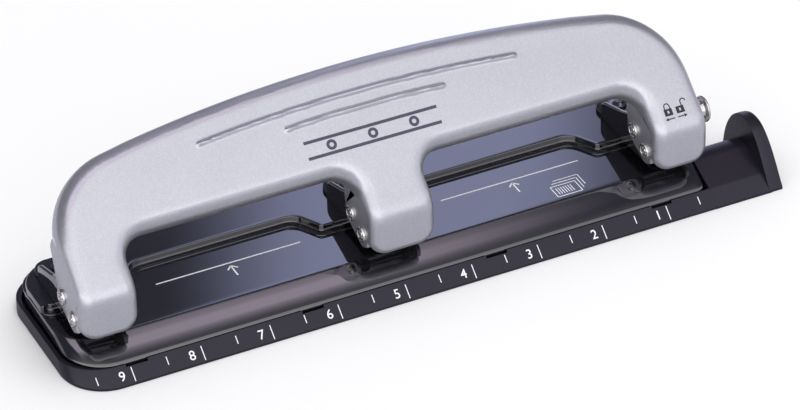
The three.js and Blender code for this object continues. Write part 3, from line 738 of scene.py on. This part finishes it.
def spring(name, x):
    """A cone of wire that nests as the punch goes down, with a flat turn at each end."""
    node = f"return_spring_{name}"
    low, high = span(node)
    wide, narrow, turns = 6.0, 4.3, 3.5
    flat_turns = 0.4
    bottom, top = low.z + SPRING_WIRE, high.z - SPRING_WIRE
    path = []
    steps = 180
    for i in range(steps + 1):
        share = i / steps
        angle = share * turns * 2 * math.pi
        rise = min(1, max(0, (share * turns - flat_turns) / (turns - 2 * flat_turns)))
        radius = wide + (narrow - wide) * share
        height = bottom + (top - bottom) * rise
        path.append((x + radius * math.cos(angle), radius * math.sin(angle), height))
    obj = sweep("spring", path, SPRING_WIRE)
    finish_piece(obj, f"spring_{name}_wire", "base", node, NICKEL, 60)
    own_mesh(obj)


# -------- handle

def on_face(along, depth):
    """Where the handle's sheet lies: along the face from the foot edge, in from the front."""
    angle = min(BEND_ANGLE, max(0.0, (along - BEND_START) / BEND_RADIUS))
    before = min(along, BEND_START)
    after = max(0.0, along - BEND_START - BEND_RADIUS * BEND_ANGLE)
    hub = FACE_Y + BEND_RADIUS
    reach = BEND_RADIUS - depth
    y = hub - reach * math.cos(angle) + after * math.sin(angle)
    z = FOOT_Z + before + reach * math.sin(angle) + after * math.cos(angle)
    return y, z


def arch_at(x):
    """How far along the face the crown's edge lies at x."""
    return CROWN - x * x / (2 * ARCH_RADIUS)


def smooth(value, start, end):
    """0 at start, 1 at end, with a soft change between."""
    s = min(1.0, max(0.0, (value - start) / (end - start)))
    return s * s * (3 - 2 * s)


# Each rib: its two ends, its height along the face there and how much its middle rises.
RIBS = [
    {"from": -61.7, "to": 56.9, "height": 57.6, "rise": 3.0},
    {"from": -30.4, "to": 28.0, "height": 54.2, "rise": 0.9},
]
RIB_HALF = 1.35
RIB_HEIGHT = 0.9


def emboss(x, along):
    """How far the face stands proud: a faint crown and the two pressed ribs."""
    top = arch_at(x)
    s = min(1.0, max(0.0, (along - 24) / (top - 28)))
    out = 0.6 * (4 * s * (1 - s)) ** 2 * max(0.0, 1 - (x / 118) ** 4)
    for rib in RIBS:
        middle, half = (rib["from"] + rib["to"]) / 2, (rib["to"] - rib["from"]) / 2
        across_share = max(-1.0, min(1.0, (x - middle) / half))
        line = rib["height"] + rib["rise"] * (1 - across_share ** 2)
        beyond = max(0.0, abs(x - middle) - half)
        distance = math.hypot(along - line, beyond)
        if distance < RIB_HALF:
            out += RIB_HEIGHT * (0.5 + 0.5 * math.cos(math.pi * distance / RIB_HALF))
    return out


FOOT_RADIUS = 6.5


def handle_outline():
    """The flat pattern of the face: three arms below an arched crown."""
    end = FLANGE_FACE
    inner = STATIONS[2][1] - OUTER_ARM / 2
    middle = MIDDLE_ARM / 2
    foot, armpit = FOOT_RADIUS, 9
    arch = [(x, arch_at(x), 0) for x in range(84, -85, -6)]
    return rounded_outline([
        (-end, 0, foot), (-inner, 0, foot), (-inner, ARM_TOP, armpit), (-middle, ARM_TOP, armpit),
        (-middle, 0, foot), (middle, 0, foot), (middle, ARM_TOP, armpit), (inner, ARM_TOP, armpit),
        (inner, 0, foot), (end, 0, foot), (end, arch_at(end), END_CORNER), *arch,
        (-end, arch_at(end), END_CORNER),
    ], 5)


def rounding(along):
    """Radius between face and rim, which grows from the feet towards the crown."""
    return 3.4 + 2.4 * smooth(along, 8, 45)


def handle_profile(entry):
    """The sheet's section at one place on the outline, from the face over the rim and back."""
    _, v, _, _ = entry
    t = HANDLE_SHEET
    round_ = rounding(v)
    rim = round_ + 0.8 + (HANDLE_RIM - round_ - 0.8) * smooth(v, 4, 12)
    turns = [math.radians(90 * i / 9) for i in range(10)]
    outside = [(round_ * (1 - math.sin(a)), round_ * (1 - math.cos(a))) for a in turns]
    inner = round_ - t
    inside = [(round_ - inner * math.sin(a), round_ - inner * math.cos(a)) for a in reversed(turns)]
    edge = eased([(0, rim - 0.6), (0, rim), (t, rim), (t, rim - 0.6)], 0.55, 3)
    return outside + edge + inside


def flange_outline():
    """Side view of an arm's flange: it follows the face in front and steps back behind."""
    top = 42
    alongs = (3, 8, BEND_START, 15, 17, 19, 21.4, 30, top)
    front = [on_face(along, rounding(along) + 0.4) for along in alongs]
    rear = [
        (-8.7, 16.0, 3.5), (-0.1, 19.9, 4), (4.1, 22.6, 2.5), (4.4, 26.5, 3), (5.8, 33.2, 8),
        (8.7, 40.5, 2),
    ]
    tip = on_face(top, HANDLE_RIM - 0.3)
    return rounded_outline(rear + [(*tip, 0)] + [(y, z, 0) for y, z in reversed(front)], 8)


# The flanges bend in at the foot only ahead of the bracket's nose, between these two places.
TUCK_START = -12.2
TUCK_END = -12.9


def tuck_in(flange, inward):
    """Bends the lower front corner of a flange inwards, to follow the rounded foot."""
    work = bmesh.new()
    work.from_mesh(flange.data)
    for i in range(8):
        cut_at(work, (0, 0, FOOT_Z + 0.8 + 0.8 * i), (0, 0, 1))
    for i in range(5):
        cut_at(work, (0, TUCK_START - 0.2 * i, 0), (0, 1, 0))
    for vert in work.verts:
        below = max(0.0, FOOT_RADIUS - (vert.co.z - FOOT_Z))
        recess = FOOT_RADIUS - math.sqrt(max(0.0, FOOT_RADIUS ** 2 - min(below, FOOT_RADIUS - 0.7) ** 2))
        vert.co.x += inward * recess * smooth(vert.co.y, TUCK_START, TUCK_END)
    work.to_mesh(flange.data)
    work.free()


def frange(start, end, step):
    """Numbers from start to end, both included, about a step apart."""
    count = int(round((end - start) / step))
    return [start + (end - start) * i / count for i in range(count + 1)]


def handle_shell():
    """The pressed sheet, made flat with its rim turned back, cut finely, then bent."""
    rings = inset_rings(handle_outline(), handle_profile, upright)
    shell = new_object("handle", *skin(rings))
    work = bmesh.new()
    work.from_mesh(shell.data)
    bend_end = BEND_START + BEND_RADIUS * BEND_ANGLE
    alongs = frange(BEND_START, bend_end, 0.42) + frange(bend_end + 2, 51, 2.5)
    alongs += frange(51.5, 63.5, 0.4) + frange(65, 71, 1.5)
    tips = [x for rib in RIBS for x in frange(rib["from"] - 2, rib["from"] + 1, 0.5)]
    tips += [x for rib in RIBS for x in frange(rib["to"] - 1, rib["to"] + 2, 0.5)]
    columns = sorted(set(tips + frange(-114, 114, 3)))
    for along in alongs:
        cut_at(work, (0, along, 0), (0, 1, 0))
    for x in columns:
        cut_at(work, (x, 0, 0), (1, 0, 0))
    for vert in work.verts:
        x, along, depth = vert.co
        if depth < HANDLE_SHEET + 0.01:
            depth -= emboss(x, along)
        y, z = on_face(along, depth)
        vert.co = (x, y, z)
    bmesh.ops.triangulate(work, faces=[f for f in work.faces if len(f.verts) > 4])
    work.to_mesh(shell.data)
    work.free()
    return shell


def cut_at(work, point, normal):
    geometry = work.verts[:] + work.edges[:] + work.faces[:]
    bmesh.ops.bisect_plane(work, geom=geometry, dist=1e-4, plane_co=point, plane_no=normal)


def handle():
    shell = handle_shell()
    flanges = []
    holes = []
    for _, x, arm in STATIONS:
        for start, inward in ((x - arm / 2, 1), (x + arm / 2 - HANDLE_SHEET, -1)):
            flange = plate("flange", flange_outline(), 0, HANDLE_SHEET, across(start), 0.35)
            tuck_in(flange, inward)
            flanges.append(flange)
        holes.append(rod(PIN_RADIUS + RUNNING, FULCRUM, x - arm, x + arm, "X", 32))
        holes.append(rod(PIN_RADIUS + FIT, DRIVE, x - arm, x + arm, "X", 32))
    holes.append(rod(BUSH_BODY + FIT, LOCK, FLANGE_FACE - 3, FLANGE_FACE + 1, "X", 32))
    combine(shell, flanges)
    combine(shell, holes, "DIFFERENCE")
    finish_piece(shell, "handle_painted", "lever", "handle", SILVER, 30)


# -------- lock

BUSH_BORE = 3.1
BUSH_BODY = 3.5


def lock():
    """The lock's bush in the right flange and the plunger that slides in it."""
    low, high = span("lock_bush")
    outer = (high.z - low.z) / 2
    face = FLANGE_FACE + FIT
    profile = eased_loop([
        (BUSH_BORE, low.x), (BUSH_BODY, low.x), (BUSH_BODY, face), (outer, face), (outer, high.x),
        (BUSH_BORE, high.x), (BUSH_BORE, low.x),
    ], [0, 0, 0, 0.1, 0.35, 0.15, 0])
    bush = turned("bush", profile, LOCK, "X")
    finish_piece(bush, "lock_bush_nickel", "lever", "lock_bush", NICKEL, 40)
    low, high = span("lock_knob")
    disc = (high.z - low.z) / 2
    tip, end = low.x, high.x
    step = tip + 1.9
    neck = BUSH_BORE - 0.1
    profile = eased([
        (0, tip), (1.05, tip), (1.25, tip + 0.3), (1.25, step), (neck, step), (neck, end - 1.5),
        (3.6, end - 1.15), (disc - 0.2, end - 1.15), (disc, end - 0.75), (disc - 0.35, end - 0.2),
        (3.9, end), (3.3, end - 0.4), (1.2, end - 0.45), (0, end - 0.4),
    ], [0, 0.1, 0.2, 0.1, 0.1, 0.5, 0.3, 0.25, 0.25, 0.3, 0.25, 0.3, 0.5, 0], 4)
    knob = turned("knob", profile, LOCK, "X", 64)
    finish_piece(knob, "lock_knob_nickel", "lock", "lock_knob", NICKEL, 40)


# -------- chip tray

TRAY_LOW, TRAY_HIGH = span("chip_tray")
TRAY_EDGE = 1.05
TRAY_FLOOR = 1.6
TRAY_RIGHT = 120.45
TRAY_CORNERS = (16, 2.5, 12.5, 15)
STOP_FACE = 139.7
SNAP_PLACES = (-100.65, -35.85, 33.95, 98.75)
# The ruler's sloping band: how far it runs back and how high it ends.
BEVEL_RUN = 5.4
BEVEL_TOP = 5.35


def chip_tray():
    """The tray below the pan, with the ruler along its front and the paper stop at its end."""
    left, front, rear = TRAY_LOW.x, TRAY_LOW.y, TRAY_HIGH.y
    floor = TRAY_FLOOR
    rows = eased([
        (1.2, 1.2, 1.2, 0), (0, 0, 0, 0), (0, 0, 0, TRAY_EDGE), (0.3, BEVEL_RUN, 0.3, BEVEL_TOP),
        (1.9, 5.6, 1.9, BEVEL_TOP), (1.95, 5.6, 1.95, 4.3), (2, 3.6, 2, floor),
        (2.8, 4.4, 2.8, floor),
    ], [0, 0.35, 0.25, 0.45, 0.3, 0, 0, 0], 5)
    bounds = (left, TRAY_RIGHT, front, rear)
    body = new_object("tray", *skin(dish_rings(bounds, TRAY_CORNERS, rows, 4)))

    def section(points, start, end):
        return new_object("section", *skin([[(x, y, z) for y, z in points] for x in (start, end)]))

    ruler_end = section([
        (front + 0.4, 0), (front + 3, 0), (front + 5.5, 4.3), (front + 5.5, 5.3), (front + 5.3, 5.25),
        (front, TRAY_EDGE), (front, 0.4),
    ], TRAY_RIGHT - 4, PAN[1] + 1)

    crest_y, crest_z, crest = -4.75, 2.5, 8.0

    def outside(inset):
        line = eased([
            (front + inset, -inset), (front + inset, TRAY_EDGE),
            (front + BEVEL_RUN + inset * 0.7, BEVEL_TOP - inset * 0.7), (-8.6, 10.05 - inset),
        ], [0, 0.25, 0.4, 0], 4)[:-1]
        return line + arc(crest_y, crest_z, crest - inset, 118, 0, 24) + [(4.6 - inset * 1.3, -inset)]

    end_part = section(outside(0), PAN[1] + GAP, STOP_FACE + 1)
    hollow = section(outside(1.6), TRAY_RIGHT + 0.4, STOP_FACE - 0.6)
    combine(body, [ruler_end, end_part, paper_stop(front)])
    combine(body, [hollow], "DIFFERENCE")
    slots = []
    for x in SNAP_PLACES:
        slots.append(slab((x - 4, x + 4), (front + 4.6, front + 6), (4.1, 6)))
    combine(body, slots, "DIFFERENCE")
    finish_piece(body, "chip_tray_smoke", "tray", "chip_tray", SMOKE)


def bezier(points, steps):
    a, b, c, d = (Vector(p) for p in points)
    result = []
    for i in range(steps + 1):
        t = i / steps
        point = a * (1 - t) ** 3 + b * 3 * t * (1 - t) ** 2 + c * 3 * t * t * (1 - t) + d * t ** 3
        result.append(tuple(point))
    return result


# Across the paper stop: the share of its thickness, and the scale of its side view there.
STOP_SECTION = [
    (0, 0.992), (0.03, 1), (0.45, 1), (0.7, 0.993), (0.86, 0.975), (0.95, 0.945), (1, 0.9),
]


def paper_stop(front):
    """A fin whose outer side leans in towards its rounded top."""
    top = TRAY_HIGH.z
    thick = TRAY_HIGH.x - STOP_FACE
    start = front + 0.2
    side = [(start, 0)] + bezier([(start, TRAY_EDGE), (-17.6, 10.2), (-12.2, top), (-4.3, top)], 36)
    side += bezier([(-4.3, top), (3.2, top), (8.6, 11.5), (8.7, 0)], 27)[1:]
    rings = []
    for across_share, scale in STOP_SECTION:
        ring = []
        for y, z in side:
            shrunk = start + (y - start) * (0.75 + 0.25 * scale)
            ring.append((STOP_FACE + across_share * thick, shrunk, z * scale))
        rings.append(ring)
    return new_object("stop", *skin(rings))


# -------- printing

FILM = 0.03


def film(name, outlines, place, body, material):
    """A thin printed film: each outline is a list of (u, v), placed by place(u, v, height)."""
    verts, faces = [], []
    for outline in outlines:
        rings = [[place(u, v, height) for u, v in outline] for height in (-FILM, FILM)]
        ring_verts, ring_faces = skin(rings)
        offset = len(verts)
        verts += ring_verts
        faces += [tuple(i + offset for i in face) for face in ring_faces]
    finish_piece(new_object(name, verts, faces), name, body, None, material)


def bar(u, v, width, height):
    """A rectangle outline centred on (u, v)."""
    return [(u - width / 2, v - height / 2), (u + width / 2, v - height / 2),
            (u + width / 2, v + height / 2), (u - width / 2, v + height / 2)]


def stroke_line(start, end, width):
    """A straight stroke between two points."""
    a, b = Vector(start), Vector(end)
    side = (b - a).normalized().orthogonal() * width / 2
    return [tuple(a - side), tuple(b - side), tuple(b + side), tuple(a + side)]


def bed_printing():
    """A line with an arrow in each window, and a stack of sheets at the right."""
    line_y, tip_y = 10.73, 9.03
    width = 0.55
    shapes = []
    for x in (-53.2, 54.7):
        shapes.append(bar(x, line_y, 54, width))
        shapes.append(bar(x, tip_y - 3.1, width, 5.6))
        for side in (-1, 1):
            shapes.append(stroke_line((x, tip_y), (x + side * 1.9, tip_y - 1.9), width))
    for step in range(3):
        x, y = 70.0 + 1.3 * step, -2.6 + 1.5 * step
        shapes += sheet_lines(x, y, step == 0)
    film("bed_printing", shapes, lambda u, v, h: (u, v, PLATE_TOP + h), "base", WHITE_INK)


def sheet_lines(x, y, ruled):
    """The outline of one sheet in the pictogram, and the ruled lines of the front one."""
    wide, tall, pen = 9.6, 6.2, 0.3
    left, right, low, high = x - wide / 2, x + wide / 2, y - tall / 2, y + tall / 2
    shapes = [
        stroke_line((left, high), (right, high), pen), stroke_line((right, low), (right, high), pen),
    ]
    if ruled:
        shapes += [stroke_line((left, low), (right, low), pen), stroke_line((left, low), (left, high), pen)]
        for k in range(7):
            u = left + 1.4 + k * 0.95
            shapes.append(stroke_line((u, low + 1.2), (u, high - 1.2), 0.28))
    return shapes


def on_bevel(u, v, height):
    """The ruler's sloping band: u along X, v up the slope from its lower edge."""
    rise = Vector((BEVEL_RUN, BEVEL_TOP - TRAY_EDGE)).normalized()
    return (u, TRAY_LOW.y + rise.x * v - rise.y * height, TRAY_EDGE + rise.y * v + rise.x * height)


INCH = 25.4
RULER_ZERO = 125.41
DIGIT_HEIGHT = 3.3


def ruler_printing():
    """Marks every half inch, the whole inches longer and numbered from the paper stop."""
    shapes = []
    for half_inches in range(1, 20):
        x = RULER_ZERO - half_inches * INCH / 2
        low, high = (0.42, 5.5) if half_inches % 2 == 0 else (2.5, 5.4)
        shapes.append(bar(x, (low + high) / 2, 0.32, high - low))
    film("ruler_marks", shapes, on_bevel, "tray", WHITE_INK)
    for inch in range(1, 10):
        digit(inch, RULER_ZERO - inch * INCH - 3.9)


def digit(number, x):
    """One ruler number, laid on the bevel."""
    curve = bpy.data.curves.new(f"digit_{number}", "FONT")
    curve.body = str(number)
    curve.size = DIGIT_HEIGHT / 0.7
    curve.align_x = "CENTER"
    curve.extrude = FILM
    curve.offset = 0.02
    curve.resolution_u = 6
    text = bpy.data.objects.new("text", curve)
    mesh = bpy.data.meshes.new_from_object(text)
    for vert in mesh.vertices:
        vert.co = on_bevel(x + vert.co.x, 1.6 + vert.co.y, vert.co.z)
    bpy.data.objects.remove(text)
    name = f"ruler_number_{number}"
    finish_piece(put(name, mesh), name, "tray", None, WHITE_INK)


def on_handle(u, v, height):
    """The handle's face: u along X, v along the face from the foot edge."""
    y, z = on_face(v, -height - emboss(u, v))
    return (u, y, z)


def lock_symbols():
    """A closed and an open padlock with arrows, on the right arm."""
    shapes = []
    for x, opened in ((104.35, False), (108.95, True)):
        base = 22.4
        wide, tall, pen = 3.1, 2.5, 0.42
        left, right = x - wide / 2, x + wide / 2
        shapes += [bar(x, base + 0.4, wide, 0.8), bar(x, base + tall - 0.35, wide, 0.7)]
        shapes += [bar(left + 0.6, base + tall / 2, 1.2, tall), bar(right - 0.6, base + tall / 2, 1.2, tall)]
        lift, shift = (0.35, 1.9) if opened else (0, 0)
        shackle = base + tall + 0.9 + lift
        radius = 1.0
        rim = arc(x + shift, shackle, radius, 0, 180, 14)
        shapes += [stroke_line(a, b, pen) for a, b in zip(rim, rim[1:])]
        shapes.append(bar(x + shift - radius, base + tall + 0.45 + lift / 2, pen, 1.0 + lift))
        if not opened:
            shapes.append(bar(x + radius, base + tall + 0.45, pen, 1.0))
        way = 1 if opened else -1
        arrow_y = base - 1.2
        shapes.append(bar(x - way * 0.4, arrow_y, 2.6, 0.4))
        neck, tip = x + way * 0.8, x + way * 2.0
        shapes.append([(neck, arrow_y - 0.65), (tip, arrow_y), (neck, arrow_y + 0.65)])
    film("lock_symbols", shapes, on_handle, "lever", BLACK_INK)


def handle_mark():
    """A plain mark of three punched holes between two bars."""
    shapes = [bar(-1.7, 42.4, 50, 1.1), bar(-1.7, 48.0, 50, 1.1)]
    for x in (-17.2, -1.7, 13.8):
        outer = arc(x, 45.2, 1.85, 0, 360, 40)
        inner = arc(x, 45.2, 0.8, 0, 360, 40)
        shapes += [[a, b, d, c] for a, b, c, d in zip(outer, outer[1:], inner, inner[1:])]
    film("handle_mark", shapes, on_handle, "lever", SLATE_INK)


# -------- stage

# Colours of the studio. Matt surfaces and the camera see the glow, mirrors see the rest.
WHITE_GLOW = (0.95, 0.95, 0.96)
ROOM_LOW = (0.10, 0.10, 0.14)
ROOM_TOP = (1.78, 1.54, 1.88)
FRONT_LOW = (1.9, 1.9, 2.0)
FRONT_HIGH = (1.42, 1.42, 1.46)
FRONT_RIGHT = (0.95, 0.95, 1.04)
BLUE_PANEL = (0.98, 1.04, 1.62)

# Each light as soft steps from none to full, along x to the right, y away and z up in parts of
# a unit direction, along y that leans with z, or by the angle aside from the panel's middle.
PANEL_MIDDLE = math.radians(63.1)
FRONT_LEAN = 0.35
PANEL = (("aside", math.radians(4.3), math.radians(1.4)), ("z", 0.8, 0.7))
CEILING = (("z", 0.8, 0.88), ("y", 0.27, 0.06), ("x", 0.425, 0.345), ("y", -0.14, -0.03))
FRONT = (("leaning", 0.26, 0.0), ("z", -0.05, 0.15))
FRONT_UPPER = (("z", 0.3, 0.65),)
FRONT_TO_RIGHT = (("x", 0.15, 0.6),)

LAMP = Vector((0.25, -0.25, 1.3))
LAMP_AIM = Vector((0.01, 0.0, 0.03))
LAMP_SIZE = (0.9, 0.7)
LAMP_POWER = 5
LAMP_COLOUR = (1.0, 0.99, 0.98)

FLOOR_REACH = 6.0
FLOOR_TONES = ((0.86, 0.86, 0.87), (0.89, 0.89, 0.90))
FLOOR_IN_MIRRORS = (0.48, 0.48, 0.54)

VIEW_AZIMUTH = math.radians(26.57)
VIEW_ELEVATION = math.radians(35.55)
VIEW_ROLL = math.radians(-0.125)
VIEW_TARGET = Vector((15.41, -24.27, 0))
VIEW_DISTANCE = 1471.2
VIEW_SHIFT = (18.767, -28.459)
LENS = 194.2
SENSOR = 36


def studio_light():
    """A white studio: an even glow for matt surfaces and a lamp overhead, and for reflections
    a dark room with a ceiling light, a bright front and a tall blue panel behind."""
    world = bpy.data.worlds.new("studio")
    world.use_nodes = True
    world.cycles.sampling_method = "NONE"
    bpy.context.scene.world = world
    n = Tree(world.node_tree)
    n.tree.nodes.clear()

    direction = n.add("TexCoord").outputs["Generated"]
    x, y, z = n.add("SeparateXYZ", {"Vector": direction}).outputs
    aside = n.maths("ABSOLUTE", n.maths("SUBTRACT", n.maths("ARCTAN2", y, x), PANEL_MIDDLE))
    leaning = n.maths("ADD", y, n.maths("MULTIPLY", z, FRONT_LEAN))
    places = {"x": x, "y": y, "z": z, "aside": aside, "leaning": leaning}

    def region(limits):
        steps = [n.ramp(places[place], start, end, kind="SMOOTHSTEP") for place, start, end in limits]
        result = steps[0]
        for step in steps[1:]:
            result = n.maths("MULTIPLY", result, step)
        return result

    tone = n.colours(region(FRONT_UPPER), FRONT_LOW, FRONT_HIGH)
    tone = n.colours(region(FRONT_TO_RIGHT), tone, FRONT_RIGHT)
    room = n.colours(region(CEILING), ROOM_LOW, ROOM_TOP)
    room = n.colours(region(FRONT), room, tone)
    reflected = n.colours(region(PANEL), room, BLUE_PANEL)
    seen = n.colours(n.in_mirrors(), WHITE_GLOW, reflected)
    background = n.add("Background", {"Color": seen})
    n.add("OutputWorld", {"Surface": background.outputs[0]})

    light = bpy.data.lights.new("overhead", "AREA")
    light.shape = "RECTANGLE"
    light.size, light.size_y = LAMP_SIZE
    light.energy = LAMP_POWER
    light.color = LAMP_COLOUR
    lamp = put("overhead", light)
    lamp.location = LAMP
    lamp.rotation_euler = (LAMP_AIM - LAMP).to_track_quat("-Z", "Y").to_euler()
    lamp.visible_glossy = False


def pale_floor():
    """A plain floor, darker where a mirror reflects it."""
    reach = FLOOR_REACH
    corners = [(-reach, -reach, 0), (reach, -reach, 0), (reach, reach, 0), (-reach, reach, 0)]
    mesh = bpy.data.meshes.new("floor")
    mesh.from_pydata(corners, [], [(0, 1, 2, 3)])
    n = Nodes("pale_floor")
    pale = n.colours(n.noise(3, 2), *FLOOR_TONES)
    n.set(Base_Color=n.colours(n.in_mirrors(), pale, FLOOR_IN_MIRRORS), Roughness=0.8)
    mesh.materials.append(n.material)
    put("floor", mesh)


def camera():
    """The view of the whole punch from its left front, above."""
    data = bpy.data.cameras.new("camera")
    data.lens = LENS
    data.sensor_width = SENSOR
    data.clip_end = 20
    level = math.cos(VIEW_ELEVATION)
    back = Vector((-math.sin(VIEW_AZIMUTH) * level, -math.cos(VIEW_AZIMUTH) * level,
                   math.sin(VIEW_ELEVATION)))
    right = Vector((math.cos(VIEW_AZIMUTH), -math.sin(VIEW_AZIMUTH), 0))
    up = back.cross(right)
    place = VIEW_TARGET - right * VIEW_SHIFT[0] - up * VIEW_SHIFT[1] + back * VIEW_DISTANCE
    turn = Matrix((right, up, back)).transposed() @ Matrix.Rotation(VIEW_ROLL, 3, "Z")
    obj = put("camera", data)
    obj.matrix_world = Matrix.Translation(place * MM) @ turn.to_4x4()
    bpy.context.scene.camera = obj
    bpy.context.scene.view_settings.view_transform = "Standard"


# -------- assembly

base_pan()
deck()
handle()
lock()
chip_tray()
for station_name, station_x, _ in STATIONS:
    bracket(station_name, station_x)
    tongue_rivet(station_name, station_x)
    die_and_spacer(station_name, station_x)
    pin(f"fulcrum_{station_name}_staked", f"fulcrum_pin_{station_name}", "base")
    pin(f"drive_{station_name}_staked", f"drive_pin_{station_name}", "lever")
    cap(f"fulcrum_{station_name}_cap", f"fulcrum_cap_{station_name}", "base")
    if f"drive_cap_{station_name}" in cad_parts:
        cap(f"drive_{station_name}_cap", f"drive_cap_{station_name}", "lever")
    punch(station_name, station_x)
    spring(station_name, station_x)
bed_printing()
ruler_printing()
lock_symbols()
handle_mark()
pale_floor()
studio_light()
camera()

bpy.context.view_layer.update()
